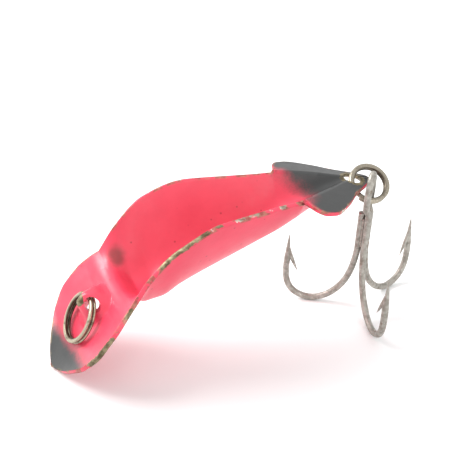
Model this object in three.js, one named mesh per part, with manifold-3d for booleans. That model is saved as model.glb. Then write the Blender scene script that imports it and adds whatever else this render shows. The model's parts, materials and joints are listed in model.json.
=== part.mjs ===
// A stamped sheet-metal trolling lure with a line tie ring, a tail ring and a treble hook.
// Millimetres, +Z up. The lure stands on its nose tip and on the three bends of its hook.
// It is drawn with its nose tip at x = 0 on the floor and its tail towards +X, and is then
// moved so that the origin is at the middle of the bottom of the whole object's box.

import * as THREE from 'three';
import { mergeVertices } from 'three/addons/utils/BufferGeometryUtils.js';
import Module from 'manifold-3d';

const wasm = await Module();
wasm.setup();

// ---------------------------------------------------------------- driving dimensions

const SHEET = 0.8;              // thickness of the stamped brass
const WAIST = { x: 11.7, z: 15.1 };   // the bend between the nose plate and the trough
const NOSE_TIP_Z = 0.24;        // the middle of the sheet at the nose tip, over the floor
const WAIST_ROUND = { drop: 0.85, reach: 1.6 };   // how the middle of the bend is rounded off
const NOSE_ARCH = 1.4;          // how far the edges of the nose plate stand over its chord
const WRIST_X = 43;             // where the trough passes into the tail plate
const TAIL_X = 58.6;            // the tail's tip
const LIP_POWER = 2.5;          // how square the bottom of the trough is

const EAR_X = 42.4;             // where the ears of the tail plate start

const BOSS = { half: 3.1, height: 3.7 };
const BOSS_HOLE = { along: 4.5, height: 2.35, radius: 1.2 };
const TAIL_HOLE = { x: 55.4, z: 24.7, halfAlong: 1.35, halfAcross: 1.85 };

const TIE_RING = { top: 4.15, height: 2.35, radius: 4.0, drop: 0.9, tall: 0.42 };
const TAIL_RING = { radius: 3.3, aside: 0.18, rise: 0.22, tall: 0.48 };
const RING_WIRE = 0.31;         // half of the ring wire sideways; tall is half of it outwards
const TURN_GAP = 0.04;          // clear space between the two turns of a split ring

const HOOK_WIRE = 0.6;          // radius of the hook wire
const SHANK = 0.84;             // from the hook's axis to the middle of each wire
const HOOK = { x: 56.5, y: -3.6, top: 27.8 };
const HOOK_LEAN = { x: 0.55, y: -0.24 };   // from the foot to the top of the bowed shank
const EYE_TURN = 47;            // degrees from +X to the plane of the hook's eye
const BENDS = { left: 148, front: 258, right: 16 };   // degrees from +X to each point
const BARB_TWIST = { left: 0, front: -0.55, right: 0 };   // how far a barb's tip stands sideways
const BRAZE = { bottom: 13.0, top: 18.6, gap: 0.04, reach: 0.88 };

const RAD = Math.PI / 180;

// ---------------------------------------------------------------- small helpers

// A smooth curve through (at, value) pairs that never swings past them.
function smooth(pairs) {
  const x = pairs.map((p) => p[0]);
  const y = pairs.map((p) => p[1]);
  const slope = x.slice(1).map((v, i) => (y[i + 1] - y[i]) / (v - x[i]));
  const tangent = y.map((v, i) => {
    if (i === 0) return slope[0];
    if (i === y.length - 1) return slope[i - 1];
    if (slope[i - 1] * slope[i] <= 0) return 0;
    return 2 / (1 / slope[i - 1] + 1 / slope[i]);
  });
  return (at) => {
    let i = 0;
    while (i < x.length - 2 && at > x[i + 1]) i += 1;
    const h = x[i + 1] - x[i];
    const t = Math.min(Math.max((at - x[i]) / h, 0), 1);
    const a = (1 + 2 * t) * (1 - t) ** 2;
    const b = t * (1 - t) ** 2;
    const c = t * t * (3 - 2 * t);
    const d = t * t * (t - 1);
    return a * y[i] + b * h * tangent[i] + c * y[i + 1] + d * h * tangent[i + 1];
  };
}

function spread(from, to, count) {
  return Array.from({ length: count + 1 }, (_, i) => from + ((to - from) * i) / count);
}

function geometryOf(positions, faces) {
  const geometry = new THREE.BufferGeometry();
  geometry.setAttribute('position', new THREE.Float32BufferAttribute(positions, 3));
  geometry.setIndex(faces);
  geometry.computeVertexNormals();
  return geometry;
}

function solidOf(geometry) {
  const bare = geometry.clone();
  bare.deleteAttribute('normal');
  bare.deleteAttribute('uv');
  const merged = mergeVertices(bare, 1e-4);
  const mesh = new wasm.Mesh({
    numProp: 3,
    vertProperties: new Float32Array(merged.attributes.position.array),
    triVerts: new Uint32Array(merged.index.array),
  });
  return new wasm.Manifold(mesh);
}

function geometryFrom(solid) {
  const mesh = solid.getMesh();
  return geometryOf(Array.from(mesh.vertProperties), Array.from(mesh.triVerts));
}

function named(name, geometry, material) {
  const mesh = new THREE.Mesh(geometry, material);
  mesh.name = name;
  return mesh;
}

// A wire along a list of points, with its own radius at each point and closed ends. It is
// round, or where flat is given tall times as thick in the direction that flat has there.
function wireAlong(points, radii, sides, flat = null, tall = 1) {
  const positions = [];
  const faces = [];
  const normal = new THREE.Vector3(0.31, 0.17, 0.93);
  points.forEach((point, i) => {
    const before = points[Math.max(i - 1, 0)];
    const after = points[Math.min(i + 1, points.length - 1)];
    const along = after.clone().sub(before).normalize();
    if (flat) normal.copy(flat[i]);
    normal.addScaledVector(along, -normal.dot(along)).normalize();
    const side = along.clone().cross(normal);
    for (let k = 0; k < sides; k += 1) {
      const turn = (k / sides) * 2 * Math.PI;
      const corner = point.clone();
      corner.addScaledVector(normal, Math.cos(turn) * radii[i] * tall);
      corner.addScaledVector(side, Math.sin(turn) * radii[i]);
      positions.push(...corner.toArray());
    }
  });
  const last = points.length - 1;
  for (let i = 0; i < last; i += 1) {
    for (let k = 0; k < sides; k += 1) {
      const a = i * sides + k;
      const b = i * sides + ((k + 1) % sides);
      faces.push(a, b, b + sides, a, b + sides, a + sides);
    }
  }
  for (let k = 1; k < sides - 1; k += 1) {
    faces.push(0, k + 1, k);
    faces.push(last * sides, last * sides + k, last * sides + k + 1);
  }
  return geometryOf(positions, faces);
}

// ---------------------------------------------------------------- the stamped sheet

// Distance along the nose plate runs from the waist, 0, to the nose tip, NOSE_LENGTH.
const NOSE_LENGTH = Math.hypot(WAIST.x, WAIST.z - NOSE_TIP_Z);
const noseDown = new THREE.Vector3(-WAIST.x, 0, NOSE_TIP_Z - WAIST.z).normalize();
const noseOut = new THREE.Vector3(noseDown.z, 0, -noseDown.x);

const noseHalf = smooth([
  [0, 8.95], [3, 9.85], [6, 10.5], [9.8, 10.6], [13.6, 8.9],
  [16.4, 5.7], [17.6, 3.8], [18.4, 2.0], [NOSE_LENGTH, 0.3],
]);

// How much lower the middle of the nose plate is than its edges.
const noseDish = smooth([
  [0, 0.8], [2, 1.3], [4, 1.9], [10, 1.9], [13, 1.75], [16, 0.9], [NOSE_LENGTH, 0],
]);

// Behind the waist everything is a function of x: half the width of the sheet, the width and
// height of the lips that the trough rises to, and the height of its floor. On the tail plate
// the lips draw together at the hole and the sheet outside them forms two ears.
const halfWidth = smooth([
  [WAIST.x, 8.95], [14.8, 9.05], [19.5, 9.2], [27.3, 8.25], [35.1, 6.85], [39.8, 6.05],
  [EAR_X, 5.85], [WRIST_X, 6.2], [43.4, 7.4], [44.1, 8.95], [45.2, 9.8], [46.6, 9.9], [50.8, 7.4],
  [53.6, 4.75], [55.6, 3.3], [57.0, 2.3], [58.0, 1.4], [58.4, 0.8], [TAIL_X, 0.3],
]);
const tailLipHalf = smooth([[EAR_X, 5.85], [49, 3.1], [TAIL_HOLE.x - 1.5, 1.0], [TAIL_X, 0.2]]);
const lipHeight = smooth([
  [WAIST.x, WAIST.z], [14.8, 19.8], [19.5, 23.9], [27.3, 26.3], [35.1, 26.1], [WRIST_X, 25.8],
  [46, 25.6], [52, 25.1], [TAIL_X, 24.2],
]);
const floorHeight = smooth([
  [WAIST.x, WAIST.z - noseDish(0)], [13.6, 12.6], [15.5, 11.5], [18, 11.5],
  [21.1, 13.0], [27.3, 15.1], [35.1, 17.6], [39.8, 19.2], [WRIST_X, 20.9],
  [49, 23.1], [TAIL_HOLE.x - 1.5, 24.6], [TAIL_X, 24.2],
]);
const EAR_DROOP = 0.12;         // how much lower the ears are per millimetre outside the lips
const LIP_COLUMN = 0.67;        // the grid column that follows the lip on the tail plate
const lipColumnShare = smooth([[36, 0], [44, 1]]);

// The lips are the sheet's own edges up to the ears.
function lipHalf(x) {
  return x < EAR_X ? halfWidth(x) : Math.min(halfWidth(x), tailLipHalf(x));
}

// The boss is a low hollow pyramid with rounded ridges, pressed out of the nose plate. The
// height of its long ridge is a share of the whole height.
const bossRidge = smooth([[1.8, 0], [2.5, 0.35], [3.2, 0.8], [4.3, 1], [5.6, 0.98], [7.4, 0.52], [9.8, 0]]);
const BOSS_FOOT = 0.35;         // how softly the boss rises from the plate

function bossRise(along, y) {
  const end = 1 - bossRidge(along);
  const flank = (Math.hypot(y, 0.45) - 0.45) / BOSS.half;
  const share = 1 - Math.min((end ** 2.6 + flank ** 2.6) ** (1 / 2.6), 1);
  return (BOSS.height * (1 + BOSS_FOOT) * share ** 2) / (share + BOSS_FOOT);
}

// How much the bend at the waist is lowered in the middle at a distance along X from it.
function waistDrop(x) {
  return WAIST_ROUND.drop * Math.max(1 - Math.abs(x - WAIST.x) / WAIST_ROUND.reach, 0) ** 2;
}

// A point over the nose plate: along from the waist, across, and height over the plate.
function overNose(along, across, height) {
  const part = along / NOSE_LENGTH;
  const inside = Math.min(Math.abs(across) / noseHalf(along), 1);
  const point = new THREE.Vector3(WAIST.x, across, WAIST.z).addScaledVector(noseDown, along);
  const dish = noseDish(along) + waistDrop(point.x);
  point.z += NOSE_ARCH * 4 * part * (1 - part) - dish * (1 - inside ** LIP_POWER);
  return point.addScaledVector(noseOut, height);
}

// A point of the middle of the sheet: where is 0 at the nose tip, 1 at the waist, 2 at the
// wrist and 3 at the tail tip, and across runs from -1 to 1.
function sheetPoint(where, across) {
  if (where <= 1) {
    const along = NOSE_LENGTH * (1 - where);
    const y = across * noseHalf(along);
    return overNose(along, y, bossRise(along, y));
  }
  const x = where <= 2
    ? WAIST.x + (WRIST_X - WAIST.x) * (where - 1)
    : WRIST_X + (TAIL_X - WRIST_X) * (where - 2);
  const share = lipColumnShare(x);
  const column = LIP_COLUMN * halfWidth(x) * (1 - share) + lipHalf(x) * share;
  const part = Math.abs(across);
  const y = part < LIP_COLUMN
    ? (part / LIP_COLUMN) * column
    : column + ((part - LIP_COLUMN) / (1 - LIP_COLUMN)) * (halfWidth(x) - column);
  const inside = Math.min(y / lipHalf(x), 1);
  const outside = Math.max(y - lipHalf(x), 0);
  const depth = lipHeight(x) - floorHeight(x) + waistDrop(x);
  const z = lipHeight(x) - depth * (1 - inside ** LIP_POWER) - EAR_DROOP * outside;
  return new THREE.Vector3(x, Math.sign(across) * y, z);
}

// Closed solid between the two faces of a curved sheet given by a grid of points.
function sheetSolid(rows, columns, thickness) {
  const step = 1e-3;
  const positions = [];
  const faces = [];
  for (const side of [1, -1]) {
    for (const where of rows) {
      for (const across of columns) {
        const point = sheetPoint(where, across);
        const u = sheetPoint(where + step, across).sub(sheetPoint(where - step, across));
        const low = Math.max(across - step, -1);
        const high = Math.min(across + step, 1);
        const v = sheetPoint(where, high).sub(sheetPoint(where, low));
        const normal = u.cross(v).normalize();
        positions.push(...point.addScaledVector(normal, (side * thickness) / 2).toArray());
      }
    }
  }
  const wide = columns.length;
  const deep = rows.length;
  const under = wide * deep;
  const quad = (a, b, c, d) => faces.push(a, b, c, a, c, d);
  for (let i = 0; i < deep - 1; i += 1) {
    for (let j = 0; j < wide - 1; j += 1) {
      const a = i * wide + j;
      quad(a, a + wide, a + wide + 1, a + 1);
      quad(under + a, under + a + 1, under + a + wide + 1, under + a + wide);
    }
    const left = i * wide;
    const right = left + wide - 1;
    quad(left, under + left, under + left + wide, left + wide);
    quad(right, right + wide, under + right + wide, under + right);
  }
  const back = (deep - 1) * wide;
  for (let j = 0; j < wide - 1; j += 1) {
    quad(j, j + 1, under + j + 1, under + j);
    quad(back + j, under + back + j, under + back + j + 1, back + j + 1);
  }
  return solidOf(geometryOf(positions, faces));
}

// A round cutter through a point, along a direction.
function cutter(centre, direction, radius, length) {
  const geometry = new THREE.CylinderGeometry(radius, radius, length, 20);
  const turn = new THREE.Quaternion().setFromUnitVectors(new THREE.Vector3(0, 1, 0), direction);
  geometry.applyQuaternion(turn);
  geometry.translate(centre.x, centre.y, centre.z);
  return solidOf(geometry);
}

function lureBody() {
  const tipRows = [0, 0.01, 0.03, 0.06, 0.1];
  const rows = [
    ...tipRows, ...spread(0.14, 0.96, 22), 0.985, 1.01, 1.03, 1.055, 1.085, 1.12,
    ...spread(1.16, 1.93, 10), 1.97, 2, 2.025, 2.05, 2.08, 2.12, 2.17, 2.23,
    ...spread(2.31, 2.87, 6), 2.92, 2.96, 2.985, 3,
  ];
  const half = [0.05, 0.1, 0.16, 0.22, 0.29, 0.37, 0.46, 0.56, 0.67, 0.78, 0.89, 1];
  const columns = [...half.map((v) => -v).reverse(), 0, ...half];
  const sheet = sheetSolid(rows, columns, SHEET);
  const sideways = new THREE.Vector3(0, 1, 0);
  const bossAt = overNose(BOSS_HOLE.along, 0, BOSS_HOLE.height);
  const tailAt = new THREE.Vector3(TAIL_HOLE.x, 0, TAIL_HOLE.z);
  const flanks = cutter(bossAt, sideways, BOSS_HOLE.radius, 7.6);
  const stretch = TAIL_HOLE.halfAlong / TAIL_HOLE.halfAcross;
  const round = cutter(new THREE.Vector3(), new THREE.Vector3(0, 0, 1), TAIL_HOLE.halfAcross, 4);
  const tail = round.scale([stretch, 1, 1]).translate(tailAt.toArray());
  return geometryFrom(sheet.subtract(flanks).subtract(tail));
}

// ---------------------------------------------------------------- split rings

// Two turns of wire side by side. It lies in the plane of right and up around its centre,
// and its ends and the step between the turns are at the angle called split.
function splitRing(centre, right, up, radius, tall, split) {
  const axis = right.clone().cross(up).normalize();
  const layer = RING_WIRE + TURN_GAP / 2;
  const stepHalf = 16;
  const turns = spread(22, 698, 48);
  const outwards = turns.map((degrees) => {
    const turn = (degrees + split) * RAD;
    return new THREE.Vector3()
      .addScaledVector(right, Math.cos(turn))
      .addScaledVector(up, Math.sin(turn));
  });
  const points = turns.map((degrees, i) => {
    const over = Math.min(Math.max((degrees - 360 + stepHalf) / (2 * stepHalf), 0), 1);
    const side = layer * (2 * over * over * (3 - 2 * over) - 1);
    return centre.clone().addScaledVector(outwards[i], radius).addScaledVector(axis, side);
  });
  return wireAlong(points, points.map(() => RING_WIRE), 8, outwards, tall / RING_WIRE);
}

function lineTieRing() {
  const top = overNose(TIE_RING.top, 0, TIE_RING.height);
  const down = noseDown.clone().multiplyScalar(2 * TIE_RING.radius);
  down.addScaledVector(noseOut, -TIE_RING.drop).normalize();
  const centre = top.clone().addScaledVector(down, TIE_RING.radius);
  const sideways = new THREE.Vector3(0, 1, 0);
  return splitRing(centre, sideways, down.clone().negate(), TIE_RING.radius, TIE_RING.tall, 60);
}

const tailHolePoint = new THREE.Vector3(TAIL_HOLE.x, 0, TAIL_HOLE.z);
const hookEyePoint = new THREE.Vector3(HOOK.x + 0.3, HOOK.y - 0.12, 21.8);

function tailRing() {
  const reach = hookEyePoint.clone().sub(tailHolePoint);
  const away = Math.sqrt(TAIL_RING.radius ** 2 - reach.lengthSq() / 4);
  const chord = reach.clone().normalize();
  const side = new THREE.Vector3(0.97, -0.18, -0.12);
  side.addScaledVector(chord, -side.dot(chord)).normalize();
  const centre = tailHolePoint.clone().addScaledVector(reach, 0.5).addScaledVector(side, away);
  centre.add(new THREE.Vector3(0, TAIL_RING.aside, TAIL_RING.rise));
  return splitRing(centre, side, chord.negate(), TAIL_RING.radius, TAIL_RING.tall, 180);
}

// ---------------------------------------------------------------- treble hook

// Half of a hook from the straight shank round the bend to the point, as distance out from
// the hook's axis and height over the floor.
const BEND = [
  [SHANK, 19.6], [SHANK, 18.8], [SHANK, 16], [SHANK, 13.2], [SHANK, 12.2], [1.15, 9.5], [1.7, 7.1], [2.6, 4.9],
  [3.95, 3.0], [5.8, 1.45], [8.1, HOOK_WIRE], [10.4, 0.95], [12.2, 2.2], [13.1, 4.1],
  [13.35, 6.5], [13.25, 9.1], [13.15, 13.8],
];
const POINT_LENGTH = 5.2;
const BARB = { root: 2.3, tip: 7.6, stand: 2.05 };

// Moves a point of a straight hook to where it is on the bowed one.
function bowed(point) {
  const share = (point.z / HOOK.top) ** 2;
  point.x += HOOK_LEAN.x * share;
  point.y += HOOK_LEAN.y * share;
  return point;
}

// A point in the upright plane at that angle: out from the hook's axis, up and sideways.
function hookPoint(degrees, out, z, sideways = 0) {
  const x = Math.cos(degrees * RAD);
  const y = Math.sin(degrees * RAD);
  return bowed(new THREE.Vector3(out * x - sideways * y, out * y + sideways * x, z));
}

function bendPoints(degrees) {
  return BEND.map(([out, z]) => hookPoint(degrees, out, z));
}

function taper(points, bothEnds) {
  const lengths = [0];
  for (let i = 1; i < points.length; i += 1) {
    lengths.push(lengths[i - 1] + points[i].distanceTo(points[i - 1]));
  }
  const whole = lengths[lengths.length - 1];
  return lengths.map((at) => {
    const left = bothEnds ? Math.min(at, whole - at) : whole - at;
    return 0.05 + (HOOK_WIRE - 0.05) * Math.min(left / POINT_LENGTH, 1) ** 0.8;
  });
}

function sampled(points, count) {
  const curve = new THREE.CatmullRomCurve3(points, false, 'centripetal');
  curve.arcLengthDivisions = 800;
  return curve.getSpacedPoints(count);
}

// A barb is a thin blade raised from the inside of the wire, pointing back to the shank.
function barb(bend) {
  const tip = BEND[BEND.length - 1];
  const inward = (back) => {
    const share = Math.max((back - BARB.root) / (BARB.tip - BARB.root), 0) ** 1.3;
    const out = tip[0] + 0.02 * back - BARB.stand * share;
    return hookPoint(BENDS[bend], out, tip[1] - back, BARB_TWIST[bend] * share);
  };
  const points = [1.2, BARB.root, 3.8, 5.2, 6.6, BARB.tip].map(inward);
  return solidOf(wireAlong(points, [0.06, 0.2, 0.34, 0.33, 0.2, 0.05], 8));
}

// The long eye: half its loop as distance from the hook's axis and height.
const EYE_LOOP = [
  [1.08, 20.5], [1.57, 21.2], [1.86, 22.4], [1.82, 24.2], [1.55, 25.5], [1.0, 26.6],
];

function doublePath() {
  const side = (sign) => EYE_LOOP.map(([out, z]) => hookPoint(EYE_TURN, sign * out, z));
  const top = hookPoint(EYE_TURN, 0, HOOK.top - HOOK_WIRE);
  const near = bendPoints(BENDS.front).reverse();
  const far = bendPoints(BENDS.right);
  return sampled([...near, ...side(-1), top, ...side(1).reverse(), ...far], 84);
}

function singlePath() {
  return sampled(bendPoints(BENDS.left), 34);
}

function singleHook() {
  const points = singlePath();
  const wire = solidOf(wireAlong(points, taper(points, false), 10));
  return wire.add(barb('left'));
}

function doubleHook() {
  const points = doublePath();
  const wire = solidOf(wireAlong(points, taper(points, true), 10));
  return wire.add(barb('front')).add(barb('right'));
}

// The brazing metal between the three straight shanks: a bar with a hollow round each wire,
// which fills the groove between two wires up to BRAZE.reach from the hook's axis.
function hookBraze() {
  const hollow = HOOK_WIRE + BRAZE.gap;
  const whole = 2 * Math.PI;
  const turns = [BENDS.right, BENDS.left, BENDS.front].map((degrees) => degrees * RAD);
  const gaps = turns.map((at, i) => (((turns[(i + 1) % 3] - at) % whole) + whole) % whole);
  const swing = (gap) => gap / 2 + Math.acos((BRAZE.reach - SHANK * Math.cos(gap / 2)) / hollow);
  const outline = new THREE.Shape();
  turns.forEach((at, i) => {
    const from = at - swing(gaps[(i + 2) % 3]);
    const to = at + swing(gaps[i]);
    outline.absarc(SHANK * Math.cos(at), SHANK * Math.sin(at), hollow, from, to, true);
  });
  const depth = BRAZE.top - BRAZE.bottom;
  const bar = new THREE.ExtrudeGeometry(outline, { depth, steps: 8, bevelEnabled: false, curveSegments: 12 });
  bar.translate(0, 0, BRAZE.bottom);
  const place = bar.attributes.position;
  const point = new THREE.Vector3();
  for (let i = 0; i < place.count; i += 1) {
    point.fromBufferAttribute(place, i);
    place.setXYZ(i, ...bowed(point).toArray());
  }
  return solidOf(bar);
}

// ---------------------------------------------------------------- materials and assembly

const paint = new THREE.MeshStandardMaterial({ color: 0xf4566c, roughness: 0.35, metalness: 0 });
const brass = new THREE.MeshStandardMaterial({ color: 0xa89a78, roughness: 0.4, metalness: 0.9 });
const tinned = new THREE.MeshStandardMaterial({ color: 0x8f8a80, roughness: 0.55, metalness: 0.8 });
const brazing = new THREE.MeshStandardMaterial({ color: 0x8a8371, roughness: 0.6, metalness: 0.8 });

const treble = new THREE.Group();
treble.add(named('double_hook', geometryFrom(doubleHook()), tinned));
treble.add(named('single_hook', geometryFrom(singleHook()), tinned));
treble.add(named('hook_braze', geometryFrom(hookBraze()), brazing));
treble.position.set(HOOK.x, HOOK.y, 0);

const lure = new THREE.Group();
lure.add(named('lure_body', lureBody(), paint));
lure.add(named('line_tie_ring', lineTieRing(), brass));
lure.add(named('tail_ring', tailRing(), brass));
lure.add(treble);

const box = new THREE.Box3().setFromObject(lure, true);
const middle = box.getCenter(new THREE.Vector3());
lure.position.set(-middle.x, -middle.y, -box.min.z);

const group = new THREE.Group();
group.add(lure);

export default group;
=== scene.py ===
import json
import math

import bpy
import numpy as np
from mathutils import Matrix, Vector, noise
from mathutils.kdtree import KDTree


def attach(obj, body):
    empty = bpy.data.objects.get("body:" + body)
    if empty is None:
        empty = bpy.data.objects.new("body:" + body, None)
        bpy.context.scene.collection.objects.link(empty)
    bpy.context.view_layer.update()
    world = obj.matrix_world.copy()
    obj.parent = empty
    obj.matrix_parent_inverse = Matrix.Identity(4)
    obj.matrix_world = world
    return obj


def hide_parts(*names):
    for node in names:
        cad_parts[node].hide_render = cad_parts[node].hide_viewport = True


# The looks of a stamped sheet-metal trolling lure with two split rings and a treble hook.
# Lengths are in millimetres, in the part's drawing frame (nose tip at x = 0, tail towards
# +X, the lure's middle plane at y = 0), until row_points() turns them into metres in the
# row frame.

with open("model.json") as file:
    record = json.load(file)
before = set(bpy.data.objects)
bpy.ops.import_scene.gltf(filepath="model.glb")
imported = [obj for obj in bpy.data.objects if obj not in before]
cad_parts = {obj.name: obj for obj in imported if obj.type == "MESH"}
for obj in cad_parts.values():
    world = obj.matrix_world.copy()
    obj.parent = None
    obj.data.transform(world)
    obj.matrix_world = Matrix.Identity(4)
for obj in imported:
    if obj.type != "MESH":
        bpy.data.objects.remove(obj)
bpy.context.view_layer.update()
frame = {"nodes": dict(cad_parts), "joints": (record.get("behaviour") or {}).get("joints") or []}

MM = 0.001
RAD = math.pi / 180

# ---------------------------------------------------------------- driving dimensions

SHEET = 0.8                     # thickness of the stamped brass
EDGE_ROUND = 0.17               # radius of the sheet's worn corners
WAIST = (11.7, 15.1)            # x and z of the bend between the nose plate and the trough
NOSE_TIP_Z = 0.24
WAIST_ROUND = dict(drop=0.85, reach=1.6)    # how far the bend's middle sinks, and its reach in X
NOSE_ARCH = 1.4                 # how far the nose plate arches up between its tip and the waist
WRIST_X = 43.0                  # where the trough ends and the tail plate begins
TAIL_X = 58.6
LIP_POWER = 2.5                 # how square the trough's cross-section is; 2 would be a parabola
EAR_X = 42.4                    # where the ears start to stand out from the lips
EAR_DROOP = 0.12                # fall of the ears for each millimetre outwards
LIP_COLUMN = 0.67               # share of the sheet's grid columns that lie between the lips

BOSS = dict(half=3.1, height=3.7, crest=0.45, power=2.6)
BOSS_FOOT = 0.35                # how softly the boss rises from the plate
BOSS_HOLE = dict(along=4.5, height=2.35, radius=1.2)
TAIL_HOLE = dict(x=55.4, z=24.7, half_along=1.35, half_across=1.85)

TIE_RING = dict(top=4.15, height=2.35, radius=4.0, drop=0.9, tall=0.42, split=60)
TAIL_RING = dict(radius=3.3, aside=0.18, rise=0.22, tall=0.48, split=180)
TAIL_RING_SIDE = (0.97, -0.18, -0.12)    # the way that the ring stands out from its chord
RING_WIRE = 0.285               # half of the ring wire's thickness along the ring's axis
RING_TALL_SHARE = 0.96          # share of tall, half the wire outwards in the CAD, that is drawn
RING_LAYER = 0.33               # from the middle of a split ring to the middle of each turn
RING_GAP = 22                   # degrees left free before the wire's first end and after its last
RING_STEP = 16                  # half of the turn, in degrees, over which the wire changes layer

HOOK_WIRE = 0.59                # radius of the hook wire
SHANK = 0.84                    # from the hook's axis to the middle of each wire on the shank
HOOK = dict(x=56.5, y=-3.6, top=27.8)
HOOK_LEAN = (0.55, -0.24)       # how far the top of the bowed shank stands from its foot
EYE_TURN = 47                   # degrees from +X to the plane of the eye
EYE_CROWN = 0.62                # from the top of the hook down to the middle of the eye's wire
EYE_HOLD = (0.3, -0.12, 21.8)   # where the tail ring passes: X and Y from the hook, and Z
BENDS = dict(left=148, front=258, right=16)     # degrees from +X to each hook point
POINT = dict(length=5.2, radius=0.04, power=0.8)
BARB = dict(start=1.2, root=2.3, tip=7.6, stand=2.05, lean=0.02, curve=1.3)
BARB_TWIST = dict(left=0, front=-0.55, right=0)   # how far a barb's tip stands sideways


def joint(name):
    return next(j for j in frame["joints"] if j["name"] == name)


# The tail ring swings at the tail hole, which ties the drawing frame to the row frame.
tail_hole_row = np.array(joint("tail_ring_swing")["pos_m"]) / MM
DRAWING_TO_ROW = tail_hole_row - np.array([TAIL_HOLE["x"], 0, TAIL_HOLE["z"]])


def row_points(points):
    """Drawing-frame millimetres as row-frame metres."""
    return (np.asarray(points, float) + DRAWING_TO_ROW) * MM


# ---------------------------------------------------------------- small helpers

def smooth(pairs):
    """A smooth curve through (at, value) pairs that never swings past them."""
    x, y = np.array(pairs, float).T
    slope = np.diff(y) / np.diff(x)
    tangent = np.concatenate(([slope[0]], np.zeros(len(x) - 2), [slope[-1]]))
    both = slope[:-1] * slope[1:] > 0
    inner = np.where(both)[0]
    tangent[inner + 1] = 2 / (1 / slope[inner] + 1 / slope[inner + 1])

    def value(at):
        at = np.asarray(at, float)
        i = np.clip(np.searchsorted(x, at) - 1, 0, len(x) - 2)
        h = x[i + 1] - x[i]
        t = np.clip((at - x[i]) / h, 0, 1)
        a = (1 + 2 * t) * (1 - t) ** 2
        b = t * (1 - t) ** 2
        c = t * t * (3 - 2 * t)
        d = t * t * (t - 1)
        return a * y[i] + b * h * tangent[i] + c * y[i + 1] + d * h * tangent[i + 1]

    return value


def unit(v):
    return v / np.linalg.norm(v, axis=-1, keepdims=True)


def ramp(value, low, high):
    """0 below low, 1 above high and a smooth step between; low may be the larger one."""
    t = np.clip((np.asarray(value, float) - low) / (high - low), 0, 1)
    return t * t * (3 - 2 * t)


def mesh_object(name, points, faces):
    """A piece from drawing-frame points and faces, with smooth shading."""
    mesh = bpy.data.meshes.new(name)
    mesh.from_pydata(row_points(points).tolist(), [], faces)
    mesh.validate()
    mesh.shade_smooth()
    piece = bpy.data.objects.new(name, mesh)
    bpy.context.scene.collection.objects.link(piece)
    return piece


def apply_modifiers(piece):
    """Replaces the piece's mesh by the one that its modifiers make."""
    depsgraph = bpy.context.evaluated_depsgraph_get()
    made = bpy.data.meshes.new_from_object(piece.evaluated_get(depsgraph), depsgraph=depsgraph)
    piece.modifiers.clear()
    piece.data = made
    return piece


def combine(piece, others, operation):
    """Cuts the others from the piece, or joins them to it, and removes them."""
    for other in others:
        step = piece.modifiers.new(operation, "BOOLEAN")
        step.operation = operation
        step.solver = "MANIFOLD"
        step.object = other
    bpy.context.view_layer.update()
    apply_modifiers(piece)
    for other in others:
        bpy.data.objects.remove(other)
    return piece


def vertex_array(piece):
    """The piece's vertices in drawing-frame millimetres."""
    points = np.zeros(len(piece.data.vertices) * 3)
    piece.data.vertices.foreach_get("co", points)
    return points.reshape(-1, 3) / MM - DRAWING_TO_ROW


def set_mask(piece, name, values):
    """A number per vertex that the piece's material reads."""
    layer = piece.data.attributes.new(name, "FLOAT", "POINT")
    layer.data.foreach_set("value", np.asarray(values, np.float32))


def roughen(piece, size, depth, seed):
    """Moves the vertices along their normals by a fixed noise: cast lumps or pits."""
    shift = Vector((seed * 7.3, seed * 3.1, seed * 5.7))
    for vertex in piece.data.vertices:
        wave = noise.noise(vertex.co / (size * MM) + shift)
        vertex.co += vertex.normal * (wave * depth * MM)


# ---------------------------------------------------------------- the stamped sheet

NOSE_LENGTH = math.hypot(WAIST[0], WAIST[1] - NOSE_TIP_Z)
nose_down = unit(np.array([-WAIST[0], 0, NOSE_TIP_Z - WAIST[1]]))
nose_out = np.array([nose_down[2], 0, -nose_down[0]])

nose_half = smooth([
    (0, 8.95), (3, 9.85), (6, 10.5), (9.8, 10.6), (13.6, 8.9),
    (16.4, 5.7), (17.6, 3.8), (18.4, 2.0), (NOSE_LENGTH, 0.3),
])
nose_dish = smooth([
    (0, 0.8), (2, 1.3), (4, 1.9), (10, 1.9), (13, 1.75), (16, 0.9), (NOSE_LENGTH, 0),
])
half_width = smooth([
    (WAIST[0], 8.95), (14.8, 9.05), (19.5, 9.2), (27.3, 8.25), (35.1, 6.85), (39.8, 6.05),
    (EAR_X, 5.85), (WRIST_X, 6.2), (43.4, 7.4), (44.1, 8.95), (45.2, 9.8), (46.6, 9.9),
    (50.8, 7.4), (53.6, 4.75), (55.6, 3.3), (57.0, 2.3), (58.0, 1.4), (58.4, 0.8), (TAIL_X, 0.3),
])
tail_lip_half = smooth([(EAR_X, 5.85), (49, 3.1), (TAIL_HOLE["x"] - 1.5, 1.0), (TAIL_X, 0.2)])
lip_height = smooth([
    WAIST, (14.8, 19.8), (19.5, 23.9), (27.3, 26.3), (35.1, 26.1), (WRIST_X, 25.8),
    (46, 25.6), (52, 25.1), (TAIL_X, 24.2),
])
floor_height = smooth([
    (WAIST[0], WAIST[1] - 0.8), (13.6, 12.6), (15.5, 11.5), (18, 11.5), (21.1, 13.0),
    (27.3, 15.1), (35.1, 17.6), (39.8, 19.2), (WRIST_X, 20.9), (49, 23.1),
    (TAIL_HOLE["x"] - 1.5, 24.6), (TAIL_X, 24.2),
])
lip_column_share = smooth([(36, 0), (44, 1)])


def lip_half(x):
    """Half the distance between the lips, which are the sheet's own edges up to the ears."""
    return np.where(x < EAR_X, half_width(x), np.minimum(half_width(x), tail_lip_half(x)))


boss_ridge = smooth([
    (1.8, 0), (2.5, 0.35), (3.2, 0.8), (4.3, 1), (5.6, 0.98), (7.4, 0.52), (9.8, 0),
])


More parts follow.
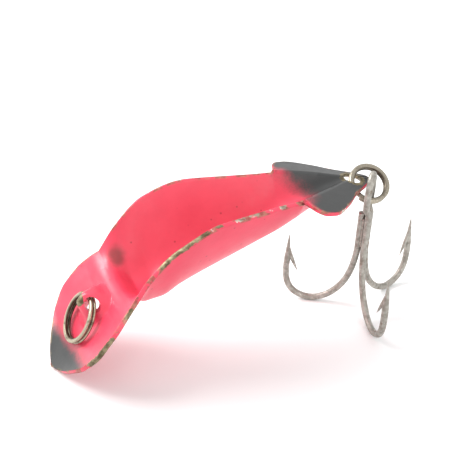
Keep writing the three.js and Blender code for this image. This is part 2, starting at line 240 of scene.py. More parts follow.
def boss_rise(along, y):
    """How high the boss stands over the nose plate."""
    power = BOSS["power"]
    end = 1 - boss_ridge(along)
    flank = (np.hypot(y, BOSS["crest"]) - BOSS["crest"]) / BOSS["half"]
    share = 1 - np.minimum((end ** power + flank ** power) ** (1 / power), 1)
    return BOSS["height"] * (1 + BOSS_FOOT) * share ** 2 / (share + BOSS_FOOT)


def waist_drop(x):
    """How much the bend at the waist is lowered in the middle, which rounds it off."""
    near = np.maximum(1 - np.abs(x - WAIST[0]) / WAIST_ROUND["reach"], 0)
    return WAIST_ROUND["drop"] * near ** 2


def over_nose(along, across, height):
    """Points over the nose plate: along from the waist, across, and height over the plate."""
    given = (np.asarray(v, float) for v in (along, across, height))
    along, across, height = np.broadcast_arrays(*given)
    part = along / NOSE_LENGTH
    points = np.array([WAIST[0], 0, WAIST[1]]) + along[..., None] * nose_down
    points[..., 1] += across
    points[..., 2] += NOSE_ARCH * 4 * part * (1 - part)
    inside = np.minimum(np.abs(across) / nose_half(along), 1)
    points[..., 2] -= (nose_dish(along) + waist_drop(points[..., 0])) * (1 - inside ** LIP_POWER)
    return points + height[..., None] * nose_out


def sheet_points(where, across):
    """Points of the middle of the sheet. where is 0 at the nose tip, 1 at the waist, 2 at the
    wrist and 3 at the tail tip, and across runs from -1 to 1."""
    where, across = np.broadcast_arrays(np.asarray(where, float), np.asarray(across, float))
    along = NOSE_LENGTH * (1 - where)
    y = across * nose_half(along)
    nose = over_nose(along, y, boss_rise(along, y))
    x = np.where(
        where <= 2,
        WAIST[0] + (WRIST_X - WAIST[0]) * (where - 1),
        WRIST_X + (TAIL_X - WRIST_X) * (where - 2),
    )
    share = lip_column_share(x)
    column = LIP_COLUMN * half_width(x) * (1 - share) + lip_half(x) * share
    part = np.abs(across)
    outer = column + (part - LIP_COLUMN) / (1 - LIP_COLUMN) * (half_width(x) - column)
    y = np.where(part < LIP_COLUMN, part / LIP_COLUMN * column, outer)
    inside = np.minimum(y / lip_half(x), 1)
    outside = np.maximum(y - lip_half(x), 0)
    depth = lip_height(x) - floor_height(x) + waist_drop(x)
    z = lip_height(x) - depth * (1 - inside ** LIP_POWER) - EAR_DROOP * outside
    back = np.stack([x, np.sign(across) * y, z], axis=-1)
    return np.where((where <= 1)[..., None], nose, back)


def sheet_normals(where, across):
    """Unit normals of the middle of the sheet, from points a small step apart."""
    step = 1e-3
    u = sheet_points(where + step, across) - sheet_points(where - step, across)
    low = np.maximum(across - step, -1)
    high = np.minimum(across + step, 1)
    v = sheet_points(where, high) - sheet_points(where, low)
    return unit(np.cross(u, v))


def sheet_rows():
    """Stations along the sheet, close together where its outline turns quickly."""
    tip = 0.14 * np.linspace(0, 1, 26)[:-1] ** 2
    plate = np.linspace(0.14, 0.97, 70)
    bend = np.linspace(0.97, 1.12, 26)[1:-1]
    trough = np.linspace(1.12, 1.96, 96)
    wrist = np.linspace(1.96, 2.25, 40)[1:-1]
    tail = np.linspace(2.25, 2.9, 40)
    end = 3 - 0.1 * np.linspace(1, 0, 20)[1:] ** 2
    return np.concatenate([tip, plate, bend, trough, wrist, tail, end])


def boundary_loop(rows, columns):
    """Grid indices once round the outside of the sheet."""
    ahead = [i * columns for i in range(rows)]
    far = [(rows - 1) * columns + j for j in range(1, columns)]
    home = [i * columns + columns - 1 for i in range(rows - 2, -1, -1)]
    near = [j for j in range(columns - 2, 0, -1)]
    return ahead + far + home + near


def sheet_mesh():
    """The sheet as one closed mesh with rounded edges."""
    rows = sheet_rows()
    columns = np.linspace(-1, 1, 109)
    where, across = np.meshgrid(rows, columns, indexing="ij")
    middle = sheet_points(where, across).reshape(-1, 3)
    normal = sheet_normals(where, across).reshape(-1, 3)
    deep, wide = where.shape
    loop = np.array(boundary_loop(deep, wide))
    along = unit(np.roll(middle[loop], -1, axis=0) - np.roll(middle[loop], 1, axis=0))
    out = unit(np.cross(along, normal[loop]))
    centre = middle.mean(axis=0)
    if np.sum(out * (middle[loop] - centre)) < 0:
        out = -out
    rim = middle[loop].copy()
    middle[loop] -= out * EDGE_ROUND
    half = SHEET / 2
    layers = [middle + normal * half, middle - normal * half]
    bends = [30, 60, 90]
    profile = [(a, 1) for a in bends] + [(a, -1) for a in reversed(bends)]
    for angle, side in profile:
        inset = EDGE_ROUND * (1 - math.sin(angle * RAD))
        height = side * (half - EDGE_ROUND * (1 - math.cos(angle * RAD)))
        layers.append(rim - out * inset + normal[loop] * height)
    points = np.concatenate(layers)
    count = deep * wide
    faces = []
    for i in range(deep - 1):
        for j in range(wide - 1):
            a = i * wide + j
            faces.append((a, a + wide, a + wide + 1, a + 1))
            faces.append((count + a, count + a + 1, count + a + wide + 1, count + a + wide))
    once = np.arange(len(loop))
    rings = [loop] + [2 * count + k * len(loop) + once for k in range(len(profile))]
    rings.append(loop + count)
    for upper, lower in zip(rings[:-1], rings[1:]):
        for k in range(len(loop)):
            n = (k + 1) % len(loop)
            faces.append((int(upper[k]), int(lower[k]), int(lower[n]), int(upper[n])))
    return points, faces, rim


def round_cutter(name, centre, direction, profile, stretch=1.0):
    """A lathe round a direction from (distance along, radius) pairs, stretched along X."""
    turn = Vector((0, 0, 1)).rotation_difference(Vector(direction)).to_matrix()
    sides = 64
    points = []
    for at, radius in profile:
        for k in range(sides):
            angle = 2 * math.pi * k / sides
            local = Vector((radius * math.cos(angle), radius * math.sin(angle), at))
            points.append(np.array(turn @ local) * (stretch, 1, 1) + centre)
    faces = [tuple(range(sides - 1, -1, -1))]
    for i in range(len(profile) - 1):
        for k in range(sides):
            n = (k + 1) % sides
            a = i * sides
            faces.append((a + k, a + n, a + sides + n, a + sides + k))
    last = (len(profile) - 1) * sides
    faces.append(tuple(range(last, last + sides)))
    return mesh_object(name, points, faces)


def nearest_distance(points, targets):
    """The distance from each point to the nearest target."""
    tree = KDTree(len(targets))
    for i, target in enumerate(targets):
        tree.insert(target, i)
    tree.balance()
    return np.array([tree.find(p)[2] for p in points])


def oval_points(centre, half_along, half_across, count=60):
    """Points round a level oval."""
    angles = np.linspace(0, 2 * math.pi, count, endpoint=False)
    x = half_along * np.cos(angles)
    y = half_across * np.sin(angles)
    return np.stack([x, y, 0 * angles], axis=-1) + centre


# Chips along the outline, to bare brass or to pale primer. Each one has its middle, as where
# along the sheet and which side of it (-1 is the side towards the viewer), its length in
# millimetres and how deep it bites.
CHIPS = [
    (1.19, -1, 3.0, 0.75), (1.27, -1, 3.4, 0.7), (1.36, -1, 3.2, 0.55), (1.47, -1, 1.2, 0.5),
    (0.93, -1, 1.7, 0.6), (0.62, -1, 1.6, 0.7), (0.5, -1, 2.2, 0.9), (0.4, -1, 2.6, 0.95),
    (0.62, 1, 2.4, 0.8),
]
PALE_CHIPS = [
    (1.44, -1, 1.6, 0.6), (1.6, -1, 2.2, 0.8), (1.68, -1, 2.6, 0.6), (1.78, -1, 1.8, 0.5),
    (1.86, -1, 1.8, 0.9), (2.35, -1, 2.0, 0.8), (2.55, -1, 2.4, 0.5), (1.29, 1, 0.8, 0.7),
    (1.46, 1, 1.0, 1.0), (2.7, -1, 1.6, 0.5),
]
CHIP_CORE = 0.25                # share of a chip's length over which its mask is full
CHIP_BITE = 1.2                 # how far in a chip's mask reaches, as a multiple of its depth

# A worn spot, or the painted corner shade, fades from full at its core to nothing at its reach, in
# millimetres.
BOSS_WEAR = dict(along=5.5, reach=1.9, core=0.5)
HOLE_WEAR = dict(reach=1.6, core=0.2)
# Painted shade: a darker patch in the trough's front corner, where the waist bend meets the far wall.
CORNER_SHADE = dict(at=(13.6, 5.9, 15.6), reach=3.3, core=0.2)

# Black begins and is full at these places, along X on the tail and down the plate from the
# waist on the nose. The slants turn those borders; the upward one counts from level.
TAIL_BLACK = dict(begins=43.0, full=52.5, sideways=0.45, upwards=0.3, level=22)
NOSE_BLACK = dict(begins=11.0, full=17.0, sideways=0.16)
BLACK_RIM = dict(bare=0.1, covered=0.75, least=0.35)    # how thin the tail's black is at its edge
TOP_SIDE = 0.3                  # how gradually the black stops where the sheet turns over


def chip_mask(points, edge, chips):
    """1 in the middle of a chip and falling to 0 round it."""
    mask = np.zeros(len(points))
    for where, side, length, depth in chips:
        centre = sheet_points(where, side)
        distance = np.linalg.norm(points - centre, axis=1)
        along_rim = ramp(distance, length, CHIP_CORE * length)
        mask = np.maximum(mask, along_rim * ramp(edge, CHIP_BITE * depth, 0))
    return mask


def black_mask(points, normals, edge):
    """How much black was sprayed over the enamel, before its grain. It came from above, so it
    lies on the top side of the tail and of the nose tip, and it is thinner at the tail's rim."""
    x, y, z = points.T
    top_side = ramp(normals[:, 2] - np.sign(y) * normals[:, 1], -TOP_SIDE, TOP_SIDE)
    slanted = x + TAIL_BLACK["sideways"] * np.abs(y) + TAIL_BLACK["upwards"] * (z - TAIL_BLACK["level"])
    tail = ramp(slanted, TAIL_BLACK["begins"], TAIL_BLACK["full"])
    along = (points - np.array([WAIST[0], 0, WAIST[1]])) @ nose_down
    slanted = along - NOSE_BLACK["sideways"] * y
    tip = ramp(slanted, NOSE_BLACK["begins"], NOSE_BLACK["full"]) * (x < WAIST[0])
    cover = ramp(edge, BLACK_RIM["bare"], BLACK_RIM["covered"])
    tail = tail * (BLACK_RIM["least"] + (1 - BLACK_RIM["least"]) * cover)
    return np.maximum(tail, tip) * top_side


def corner_shade_mask(points):
    """Painted shade in the trough's front corner, on the side away from the viewer."""
    distance = np.linalg.norm(points - np.array(CORNER_SHADE["at"]), axis=1)
    return ramp(distance, CORNER_SHADE["reach"], CORNER_SHADE["core"])


def bearing_mask(points):
    """Where the tie ring has rubbed the paint off the crest of the boss."""
    along = BOSS_WEAR["along"]
    crest = over_nose(along, 0, boss_rise(along, 0) + SHEET / 2)
    distance = np.linalg.norm(points - crest, axis=1)
    return ramp(distance, BOSS_WEAR["reach"], BOSS_WEAR["core"])


def lure_sheet():
    """The stamped sheet with both its holes cut and its paint masks set."""
    points, faces, rim = sheet_mesh()
    piece = mesh_object("lure_sheet", points, faces)
    boss_at = over_nose(BOSS_HOLE["along"], 0, BOSS_HOLE["height"])
    reach = 4.5
    straight = [(-reach, BOSS_HOLE["radius"]), (reach, BOSS_HOLE["radius"])]
    flanks = round_cutter("flank_cutter", boss_at, (0, 1, 0), straight)
    tail_at = np.array([TAIL_HOLE["x"], 0, TAIL_HOLE["z"]])
    r = TAIL_HOLE["half_across"]
    flare = 0.12
    deep = 2
    rim_at = SHEET / 2 - flare
    wide = r + deep - rim_at
    chamfered = [(-deep, wide), (-rim_at, r), (rim_at, r), (deep, wide)]
    stretch = TAIL_HOLE["half_along"] / r
    tail = round_cutter("tail_cutter", tail_at, (0, 0, 1), chamfered, stretch)
    combine(piece, [flanks, tail], "DIFFERENCE")
    piece.data.shade_smooth()
    piece.data.set_sharp_from_angle(angle=45 * RAD)
    placed = vertex_array(piece)
    tail_rim = oval_points(tail_at, TAIL_HOLE["half_along"], r)
    edge = nearest_distance(placed, np.concatenate([rim, tail_rim]))
    set_mask(piece, "edge", edge)
    set_mask(piece, "chip", chip_mask(placed, edge, CHIPS))
    set_mask(piece, "pale", chip_mask(placed, edge, PALE_CHIPS))
    normals = np.empty(len(placed) * 3)
    piece.data.vertices.foreach_get("normal", normals)
    set_mask(piece, "black", black_mask(placed, normals.reshape(-1, 3), edge))
    # the painted shade in the trough's front corner
    set_mask(piece, "corner_shade", corner_shade_mask(placed))
    set_mask(piece, "bearing", bearing_mask(placed))
    from_hole = nearest_distance(placed, tail_rim)
    set_mask(piece, "holes", ramp(from_hole, HOLE_WEAR["reach"], HOLE_WEAR["core"]))
    return piece


# ---------------------------------------------------------------- wires

def wire_mesh(points, radii, sides, square=2.0, flat=None, tall=1.0):
    """A wire along points. square above 2 makes its section squarer, flat is the direction
    that one side of the section keeps to, and tall is how much longer it is that way."""
    points = np.asarray(points, float)
    along = unit(np.gradient(points, axis=0))
    normal = np.array([0.31, 0.17, 0.93])    # any direction that no wire starts along
    corners = []
    angles = np.linspace(0, 2 * math.pi, sides, endpoint=False)
    rise, run = np.abs(np.cos(angles)), np.abs(np.sin(angles))
    shape = (rise ** square + run ** square) ** (-1 / square)
    for i, point in enumerate(points):
        if flat is not None:
            normal = np.asarray(flat[i], float)
        normal = unit(normal - along[i] * (normal @ along[i]))
        side = np.cross(along[i], normal)
        ring = tall * np.cos(angles)[:, None] * normal + np.sin(angles)[:, None] * side
        corners.append(point + ring * (shape * radii[i])[:, None])
    corners = np.concatenate(corners)
    faces = []
    last = len(points) - 1
    for i in range(last):
        for k in range(sides):
            a = i * sides + k
            b = i * sides + (k + 1) % sides
            faces.append((a, b, b + sides, a + sides))
    faces.append(tuple(range(sides - 1, -1, -1)))
    faces.append(tuple(range(last * sides, (last + 1) * sides)))
    return corners, faces


def split_ring(name, centre, right, up, radius, tall, split):
    """Two turns of flattened wire side by side, with the ends and the step between the turns
    at the angle called split."""
    axis = unit(np.cross(right, up))
    degrees = np.linspace(RING_GAP, 720 - RING_GAP, 300)
    over = ramp(degrees, 360 - RING_STEP, 360 + RING_STEP)
    turn = (degrees + split) * RAD
    out = np.cos(turn)[:, None] * right + np.sin(turn)[:, None] * up
    side = RING_LAYER * (2 * over - 1)
    points = centre + radius * out + side[:, None] * axis
    ends = np.minimum(degrees - degrees[0], degrees[-1] - degrees)
    radii = RING_WIRE * (0.8 + 0.2 * ramp(ends, 0, 3))
    longer = RING_TALL_SHARE * tall / RING_WIRE
    corners, faces = wire_mesh(points, radii, 24, square=2.1, flat=out, tall=longer)
    piece = mesh_object(name, corners, faces)
    normals = np.empty(len(corners) * 3)
    piece.data.vertices.foreach_get("normal", normals)
    normals = normals.reshape(-1, 3)
    # Which faces look into the ring; the material darkens them as painted shade.
    from_centre = vertex_array(piece) - centre
    inward = -np.sum(normals * from_centre, axis=1) / radius
    set_mask(piece, "inner_face", ramp(inward, -0.25, 0.65))
    return piece


def line_tie_split_ring():
    """The ring through the boss, lying back on the nose plate."""
    top = over_nose(TIE_RING["top"], 0, TIE_RING["height"])
    down = unit(nose_down * 2 * TIE_RING["radius"] - nose_out * TIE_RING["drop"])
    centre = top + down * TIE_RING["radius"]
    sideways = np.array([0, 1.0, 0])
    size = TIE_RING["radius"], TIE_RING["tall"], TIE_RING["split"]
    return split_ring("line_tie_split_ring", centre, sideways, -down, *size)


def tail_split_ring():
    """The ring through the tail hole and the hook's eye."""
    hole = np.array([TAIL_HOLE["x"], 0, TAIL_HOLE["z"]])
    eye = np.array([HOOK["x"] + EYE_HOLD[0], HOOK["y"] + EYE_HOLD[1], EYE_HOLD[2]])
    reach = eye - hole
    away = math.sqrt(TAIL_RING["radius"] ** 2 - reach @ reach / 4)
    chord = unit(reach)
    side = np.array(TAIL_RING_SIDE)
    side = unit(side - chord * (side @ chord))
    nudge = np.array([0, TAIL_RING["aside"], TAIL_RING["rise"]])
    centre = hole + reach / 2 + side * away + nudge
    size = TAIL_RING["radius"], TAIL_RING["tall"], TAIL_RING["split"]
    return split_ring("tail_split_ring", centre, side, -chord, *size)


# ---------------------------------------------------------------- treble hook

# Middle lines of the wire, as (out from the hook's axis, height): one bend from the shank to
# the point, and one side of the eye.
BEND = [
    (SHANK, 19.6), (SHANK, 18.8), (SHANK, 16), (SHANK, 13.2), (SHANK, 12.2), (1.15, 9.5),
    (1.7, 7.1), (2.6, 4.9), (3.95, 3.0), (5.8, 1.45), (8.1, 0.62), (10.4, 0.95), (12.2, 2.2),
    (13.1, 4.1), (13.35, 6.5), (13.25, 9.1), (13.15, 13.8),
]
EYE_LOOP = [(1.08, 20.5), (1.57, 21.2), (1.86, 22.4), (1.82, 24.2), (1.55, 25.5), (1.0, 26.6)]


def turned(pairs, degrees):
    """(out from the hook's axis, height) pairs in the upright plane at that angle, bowed as
    the shank is."""
    out, z = np.array(pairs, float).T
    bow = (z / HOOK["top"]) ** 2
    x = HOOK["x"] + HOOK_LEAN[0] * bow + out * math.cos(degrees * RAD)
    y = HOOK["y"] + HOOK_LEAN[1] * bow + out * math.sin(degrees * RAD)
    return np.stack([x, y, z], axis=-1)


def sampled(points, count):
    """Evenly spaced points on a centripetal Catmull-Rom curve through the given ones."""
    before = [2 * points[0] - points[1]]
    after = [2 * points[-1] - points[-2]]
    p = np.concatenate([before, points, after])
    fine = []
    for i in range(1, len(p) - 2):
        quad = p[i - 1:i + 3]
        gaps = np.maximum(np.linalg.norm(np.diff(quad, axis=0), axis=1) ** 0.5, 1e-4)
        d0, d1, d2 = gaps
        a, b, c, d = quad
        start = d1 * ((b - a) / d0 - (c - a) / (d0 + d1) + (c - b) / d1)
        end = d1 * ((c - b) / d1 - (d - b) / (d1 + d2) + (d - c) / d2)
        t = np.linspace(0, 1, 60, endpoint=False)[:, None]
        fine.append(
            b * (2 * t**3 - 3 * t**2 + 1) + start * (t**3 - 2 * t**2 + t)
            + c * (3 * t**2 - 2 * t**3) + end * (t**3 - t**2)
        )
    fine = np.concatenate(fine + [points[-1:]])
    pieces = np.linalg.norm(np.diff(fine, axis=0), axis=1)
    lengths = np.concatenate([[0], np.cumsum(pieces)])
    even = np.linspace(0, lengths[-1], count)
    placed = [np.interp(even, lengths, fine[:, k]) for k in range(3)]
    return np.stack(placed, axis=-1), even


def taper(even, both_ends):
    """The wire's radius at each length along it, drawn out to a point at its end or ends."""
    left = np.minimum(even, even[-1] - even) if both_ends else even[-1] - even
    share = np.minimum(left / POINT["length"], 1) ** POINT["power"]
    return POINT["radius"] + (HOOK_WIRE - POINT["radius"]) * share


def barb(name, bend):
    """A thin blade raised from the inside of the wire, pointing back to the shank."""
    tip_out, tip_z = BEND[-1]
    backs = np.linspace(BARB["start"], BARB["tip"], 26)
    share = np.clip((backs - BARB["root"]) / (BARB["tip"] - BARB["root"]), 0, 1)
    outs = tip_out + BARB["lean"] * backs - BARB["stand"] * share ** BARB["curve"]
    thick = smooth([
        (BARB["start"], 0.06), (BARB["root"], 0.2), (3.8, 0.34), (5.2, 0.33), (6.6, 0.2),
        (BARB["tip"], 0.04),
    ])
    degrees = BENDS[bend]
    points = turned(list(zip(outs, tip_z - backs)), degrees)
    sideways = np.array([-math.sin(degrees * RAD), math.cos(degrees * RAD), 0])
    points += BARB_TWIST[bend] * share[:, None] ** BARB["curve"] * sideways
    corners, faces = wire_mesh(points, thick(backs), 14)
    return mesh_object(name, corners, faces)


def double_hook_wire():
    """The wire that makes the eye and two of the three points."""
    near = turned(BEND, BENDS["front"])[::-1]
    far = turned(BEND, BENDS["right"])
    left = turned([(-out, z) for out, z in EYE_LOOP], EYE_TURN)
    right = turned(EYE_LOOP, EYE_TURN)[::-1]
    top = turned([(0, HOOK["top"] - EYE_CROWN)], EYE_TURN)
    points, even = sampled(np.concatenate([near, left, top, right, far]), 420)
    corners, faces = wire_mesh(points, taper(even, True), 28)
    piece = mesh_object("double_hook_wire", corners, faces)
    combine(piece, [barb("barb_a", "front"), barb("barb_b", "right")], "UNION")
    return piece


def single_hook_wire():
    """The wire of the third point, which lies along the shank."""
    points, even = sampled(turned(BEND, BENDS["left"]), 200)
    corners, faces = wire_mesh(points, taper(even, False), 28)
    piece = mesh_object("single_hook_wire", corners, faces)
    combine(piece, [barb("barb_c", "left")], "UNION")
    return piece


# ---------------------------------------------------------------- materials

# Linear red, green and blue.
PINK = (0.66, 0.043, 0.084)
LIGHT_PINK = (0.72, 0.054, 0.1)
SPECK_RED = (0.33, 0.02, 0.03)
# painted shade for the trough's front corner
CORNER_SHADE_BROWN = (0.16, 0.035, 0.03)
SPRAY_BLACK = (0.029, 0.03, 0.03)
BARE_BRASS = dict(dark=(0.1, 0.078, 0.042), bright=(0.3, 0.25, 0.15))
PRIMER = dict(dark=(0.5, 0.38, 0.33), bright=(0.66, 0.58, 0.5))
RING_BRASS = dict(dark=(0.085, 0.062, 0.04), bright=(0.46, 0.41, 0.3))
RING_NICKEL = dict(dark=(0.09, 0.07, 0.05), bright=(0.4, 0.36, 0.29))
STEEL = dict(dark=(0.27, 0.25, 0.22), bright=(0.44, 0.42, 0.38))
BRAZE = dict(dark=(0.27, 0.25, 0.22), bright=(0.45, 0.43, 0.38))
RUST = (0.16, 0.095, 0.06)
PALE_TIN = (0.75, 0.73, 0.68)
LIT_PAPER = (0.94, 0.955, 0.955)
SHADED_PAPER = (0.68, 0.69, 0.69)

# Painted shade on the rings' inner faces.
INNER_SHADE_SHARE = 0.75              # how dark a ring's inner face is, as a share of its dark metal


class Nodes:
    """Short calls for building one node material."""

    def __init__(self, name, roughness=0.5, metallic=0.0):
        self.material = bpy.data.materials.new(name)
        self.material.use_nodes = True
        self.tree = self.material.node_tree
        self.shader = self.tree.nodes["Principled BSDF"]
        self.shader.inputs["Roughness"].default_value = roughness
        self.shader.inputs["Metallic"].default_value = metallic
        place = self.tree.nodes.new("ShaderNodeTexCoord")
        scale = self.tree.nodes.new("ShaderNodeMapping")
        scale.inputs["Scale"].default_value = (1 / MM, 1 / MM, 1 / MM)
        self.tree.links.new(place.outputs["Object"], scale.inputs["Vector"])
        self.place = scale.outputs["Vector"]

    def link(self, value, socket):
        """Gives the socket a value, which is another node's output or a fixed one."""
        if isinstance(value, bpy.types.NodeSocket):
            self.tree.links.new(value, socket)
        else:
            socket.default_value = value

    def noise(self, size, detail=3.0, roughness=0.55, distortion=0.0):
        """Noise whose lumps are about size millimetres."""
        node = self.tree.nodes.new("ShaderNodeTexNoise")
        node.inputs["Scale"].default_value = 1 / size
        node.inputs["Detail"].default_value = detail
        node.inputs["Roughness"].default_value = roughness
        node.inputs["Distortion"].default_value = distortion
        self.link(self.place, node.inputs["Vector"])
        return node.outputs["Fac"]

    def cells(self, size):
        """Distance to scattered points about size millimetres apart."""
        node = self.tree.nodes.new("ShaderNodeTexVoronoi")
        node.inputs["Scale"].default_value = 1 / size
        self.link(self.place, node.inputs["Vector"])
        return node.outputs["Distance"]

    def mask(self, name):
        """The number per vertex that set_mask() left under that name."""
        node = self.tree.nodes.new("ShaderNodeAttribute")
        node.attribute_name = name
        return node.outputs["Fac"]

    def math(self, operation, a, b=0.0, clamp=False):
        node = self.tree.nodes.new("ShaderNodeMath")
        node.operation = operation
        node.use_clamp = clamp
        self.link(a, node.inputs[0])
        self.link(b, node.inputs[1])
        return node.outputs[0]

    def ramp(self, value, low, high, to_low=0.0, to_high=1.0):
        """A smooth step from to_low, where value is low, to to_high, where it is high."""
        node = self.tree.nodes.new("ShaderNodeMapRange")
        node.interpolation_type = "SMOOTHSTEP"
        self.link(value, node.inputs["Value"])
        ends = {"From Min": low, "From Max": high, "To Min": to_low, "To Max": to_high}
        for key, number in ends.items():
            node.inputs[key].default_value = number
        return node.outputs["Result"]

    def mix(self, share, a, b):
        """Colour a where share is 0 and b where it is 1."""
        node = self.tree.nodes.new("ShaderNodeMix")
        node.data_type = "RGBA"
        self.link(share, node.inputs["Factor"])
        for value, socket in ((a, node.inputs[6]), (b, node.inputs[7])):
            self.link((*value, 1) if isinstance(value, tuple) else value, socket)
        return node.outputs[2]

    def bump(self, height, depth, strength=1.0):
        """Bump from a height, where 1 stands depth millimetres over 0."""
        node = self.tree.nodes.new("ShaderNodeBump")
        node.inputs["Strength"].default_value = strength
        node.inputs["Distance"].default_value = depth * MM
        self.link(height, node.inputs["Height"])
        self.link(node.outputs["Normal"], self.shader.inputs["Normal"])

    def set(self, **values):
        """Sets the shader's inputs, with _ for each space, and returns the material."""
        for name, value in values.items():
            socket = self.shader.inputs[name.replace("_", " ")]
            self.link((*value, 1) if isinstance(value, tuple) and len(value) == 3 else value, socket)
        return self.material


def enamel():
    """Fluorescent enamel over brass, with black sprayed on and chips along the edges."""
    n = Nodes("fluorescent_enamel")
    pink = n.mix(n.ramp(n.noise(5.5), 0.3, 0.7), PINK, LIGHT_PINK)
    specks = n.ramp(n.cells(1.9), 0.13, 0.06)
    rare = n.math("MULTIPLY", specks, n.ramp(n.noise(3.1), 0.46, 0.52))
    pink = n.mix(n.math("MULTIPLY", rare, 0.7), pink, SPECK_RED)
    # The sprayed black and the painted shade in the trough's front corner, with borders that the noise
    # breaks up.
    grain = n.math("SUBTRACT", n.noise(0.28, 2.0), 0.5)
    drift = n.math("SUBTRACT", n.noise(2.6, 2.0), 0.5)
    sprayed = n.math("ADD", n.mask("black"), n.math("MULTIPLY", grain, 0.22))
    sprayed = n.math("ADD", sprayed, n.math("MULTIPLY", drift, 0.35))
    black = n.ramp(sprayed, 0.05, 0.8)
    # painted shade in the front corner of the trough, its border broken by noise
    corner_shading = n.math("ADD", n.mask("corner_shade"), n.math("MULTIPLY", drift, 0.9))
    paint = n.mix(n.math("MULTIPLY", n.ramp(corner_shading, 0.15, 0.95), 0.75), pink, CORNER_SHADE_BROWN)
    paint = n.mix(black, paint, SPRAY_BLACK)
    # Where the paint has gone: the chips, the rubbed boss, the tail hole and the thin rim.
    ragged = n.math("MULTIPLY", n.math("SUBTRACT", n.noise(0.55, 4.0, 0.6), 0.5), 1.25)
    brass_share = n.ramp(n.math("ADD", n.mask("chip"), ragged), 0.34, 0.46)
    pale_share = n.ramp(n.math("ADD", n.mask("pale"), ragged), 0.68, 0.78)
    rubbed = n.math("ADD", n.mask("bearing"), n.math("MULTIPLY", ragged, 0.8))
    brass_share = n.math("MAXIMUM", brass_share, n.ramp(rubbed, 0.45, 0.6))
    hole_wear = n.math("ADD", n.math("MULTIPLY", n.mask("holes"), 0.75), ragged)
    brass_share = n.math("MAXIMUM", brass_share, n.ramp(hole_wear, 0.42, 0.55))
    rim = n.ramp(n.mask("edge"), 0.64, 0.42)
    thin_rim = n.math("MULTIPLY", rim, n.ramp(n.noise(1.7, 4.0), 0.46, 0.56))
    brass_share = n.math("MAXIMUM", brass_share, n.math("MULTIPLY", thin_rim, 0.65))
    brass = n.mix(n.ramp(n.noise(0.9, 4.0), 0.35, 0.68), BARE_BRASS["dark"], BARE_BRASS["bright"])
    primer = n.mix(n.ramp(n.noise(0.5), 0.4, 0.6), PRIMER["dark"], PRIMER["bright"])
    colour = n.mix(pale_share, paint, primer)
    colour = n.mix(brass_share, colour, brass)
    n.bump(n.noise(0.8, 2.0), 0.012)
    metallic = n.math("MULTIPLY", brass_share, 0.8)
    rougher = n.math("MULTIPLY", brass_share, 0.12)
    roughness = n.math("ADD", rougher, n.ramp(n.noise(1.4), 0.3, 0.7, 0.3, 0.38))
    return n.set(Base_Color=colour, Metallic=metallic, Roughness=roughness)


def ring_metal(name, metal, worn):
    """Tarnished metal, with painted shade darkening the ring's inner faces. More of it is still bright
    where worn is larger.
    """
    bright = metal["bright"]
    dark = metal["dark"]
    n = Nodes(name, metallic=0.9)
    patches = n.noise(1.6, 5.0, 0.62)
    tarnish = n.ramp(patches, 0.62 - 0.3 * worn, 0.34 - 0.2 * worn)
    fine = n.ramp(n.noise(0.22, 3.0), 0.35, 0.7)
    colour = n.mix(tarnish, bright, dark)
    colour = n.mix(n.math("MULTIPLY", fine, 0.35), colour, dark)
    # Painted shade: the faces that look into the ring are darkened, standing in for shade and dark
    # reflections.
    inner_shade = n.math("MULTIPLY", n.mask("inner_face"), n.ramp(n.noise(0.9), 0.2, 0.6, 0.7, 1.0))
    colour = n.mix(inner_shade, colour, tuple(INNER_SHADE_SHARE * part for part in dark))
    n.bump(n.noise(0.3, 3.0), 0.015)
    return n.set(Base_Color=colour, Roughness=n.ramp(patches, 0.3, 0.7, 0.52, 0.3))


def hook_metal():
    """Dull tinned steel with pits, pale worn spots and faint rust."""
    n = Nodes("tinned_steel", metallic=0.75)
    base = n.mix(n.ramp(n.noise(1.1, 4.0), 0.35, 0.68), STEEL["dark"], STEEL["bright"])
    rust = n.ramp(n.noise(2.3, 5.0, 0.65), 0.56, 0.68)
    base = n.mix(n.math("MULTIPLY", rust, 0.55), base, RUST)
    pale = n.ramp(n.cells(0.42), 0.24, 0.12)
    pale = n.math("MULTIPLY", pale, n.ramp(n.noise(0.8), 0.5, 0.6))
    base = n.mix(n.math("MULTIPLY", pale, 0.7), base, PALE_TIN)
    pits = n.math("ADD", n.noise(0.35, 4.0, 0.65), n.math("MULTIPLY", pale, 0.3))
    n.bump(pits, 0.05)
    return n.set(Base_Color=base, Roughness=n.ramp(n.noise(0.6), 0.3, 0.7, 0.42, 0.62))


def braze_metal():
    """Rough dull brazing metal."""
    n = Nodes("brazing_metal", metallic=0.7)
    colour = n.mix(n.ramp(n.noise(0.7, 5.0), 0.36, 0.66), BRAZE["dark"], BRAZE["bright"])
    n.bump(n.noise(0.4, 4.0, 0.65), 0.08)
    return n.set(Base_Color=colour, Roughness=n.ramp(n.noise(0.5), 0.3, 0.7, 0.5, 0.7))


def dress(piece, material, body, node):
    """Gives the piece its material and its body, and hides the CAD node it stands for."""
    piece.data.materials.clear()
    piece.data.materials.append(material)
    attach(piece, body)
    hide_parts(node)


dress(lure_sheet(), enamel(), "lure_body", "lure_body")

tie_brass = ring_metal("tarnished_brass", RING_BRASS, 0.45)
dress(line_tie_split_ring(), tie_brass, "line_tie_ring", "line_tie_ring")

worn_nickel = ring_metal("worn_nickel", RING_NICKEL, 0.5)
dress(tail_split_ring(), worn_nickel, "tail_ring", "tail_ring")

tinned = hook_metal()
hook_wires = [(double_hook_wire(), "double_hook"), (single_hook_wire(), "single_hook")]
for number, (made, node) in enumerate(hook_wires):
    roughen(made, size=0.5, depth=0.02, seed=number + 1)
    dress(made, tinned, "treble_hook", node)

braze_node = frame["nodes"]["hook_braze"]
braze_node.data.materials.clear()
braze_node.data.materials.append(braze_metal())

# ---------------------------------------------------------------- floor, light and camera

HALF_FLOOR = 3.0                # metres
# Painted shadow: the paper is a little darker in a band between the object and the viewer.
# These are in millimetres from the origin, in a level direction that points away from the viewer.
SHADE_WAY = (0.41, 0.91)
SHADE_NEAR = dict(none=2, full=-34)
SHADE_FAR = dict(none=-150, full=-60)

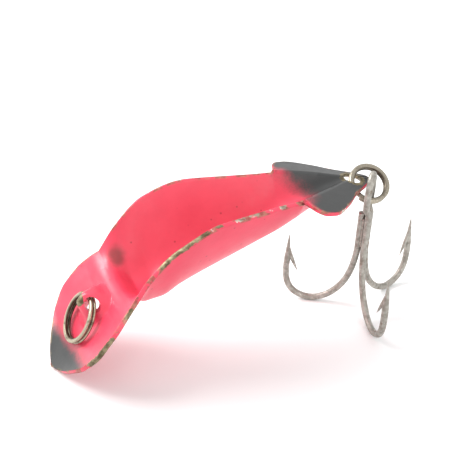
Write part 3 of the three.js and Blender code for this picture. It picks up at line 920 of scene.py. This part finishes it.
floor_mesh = bpy.data.meshes.new("floor")
floor_corners = [(-1, -1), (1, -1), (1, 1), (-1, 1)]
floor_points = [(x * HALF_FLOOR, y * HALF_FLOOR, 0) for x, y in floor_corners]
floor_mesh.from_pydata(floor_points, [], [(0, 1, 2, 3)])
floor = bpy.data.objects.new("floor", floor_mesh)
bpy.context.scene.collection.objects.link(floor)
paper = Nodes("white_paper", roughness=0.8)
place = paper.tree.nodes.new("ShaderNodeSeparateXYZ")
paper.link(paper.place, place.inputs["Vector"])
away = paper.math("MULTIPLY", place.outputs["X"], SHADE_WAY[0])
away = paper.math("ADD", away, paper.math("MULTIPLY", place.outputs["Y"], SHADE_WAY[1]))
# the object's painted shadow on the paper
near = paper.ramp(away, SHADE_NEAR["none"], SHADE_NEAR["full"])
far = paper.ramp(away, SHADE_FAR["none"], SHADE_FAR["full"])
shade = paper.math("MULTIPLY", near, far)
floor.data.materials.append(paper.set(Base_Color=paper.mix(shade, LIT_PAPER, SHADED_PAPER)))

world = bpy.data.worlds.new("white_tent")
bpy.context.scene.world = world
world.use_nodes = True
backdrop = world.node_tree.nodes["Background"]
backdrop.inputs["Color"].default_value = (1, 1, 1, 1)
backdrop.inputs["Strength"].default_value = 1.02


def softbox(name, turn, height, far, size, energy):
    """A square light that faces the object: degrees from +X, degrees up, metres away."""
    level = math.cos(height * RAD)
    x = math.cos(turn * RAD) * level
    y = math.sin(turn * RAD) * level
    toward = Vector((x, y, math.sin(height * RAD)))
    light = bpy.data.lights.new(name, "AREA")
    light.shape = "SQUARE"
    light.size = size
    light.energy = energy
    lamp = bpy.data.objects.new(name, light)
    lamp.location = toward * far
    lamp.rotation_mode = "QUATERNION"
    lamp.rotation_quaternion = toward.to_track_quat("Z", "Y")
    bpy.context.scene.collection.objects.link(lamp)


softbox("window", turn=142, height=43, far=0.45, size=0.24, energy=2.2)
softbox("front_fill", turn=-80, height=16, far=0.5, size=0.4, energy=0.9)

bpy.context.scene.view_settings.view_transform = "Standard"

# The camera's place, aim and roll were fitted to the object's outline in the photo.
CAMERA_AT = Vector(row_points((-21.95, -118.41, 98.69)))
CAMERA_AIM = Vector((0.3509, 0.7825, -0.5144)).normalized()
CAMERA_ROLL = 1.03 * RAD
camera_data = bpy.data.cameras.new("camera")
camera_data.lens = 72
camera_data.sensor_width = 36
camera_data.clip_start = 0.005
camera_data.clip_end = 20
camera = bpy.data.objects.new("camera", camera_data)
camera.location = CAMERA_AT
level = CAMERA_AIM.to_track_quat("-Z", "Y").to_matrix()
camera.rotation_mode = "QUATERNION"
camera.rotation_quaternion = (level @ Matrix.Rotation(CAMERA_ROLL, 3, "Z")).to_quaternion()
bpy.context.scene.collection.objects.link(camera)
bpy.context.scene.camera = camera
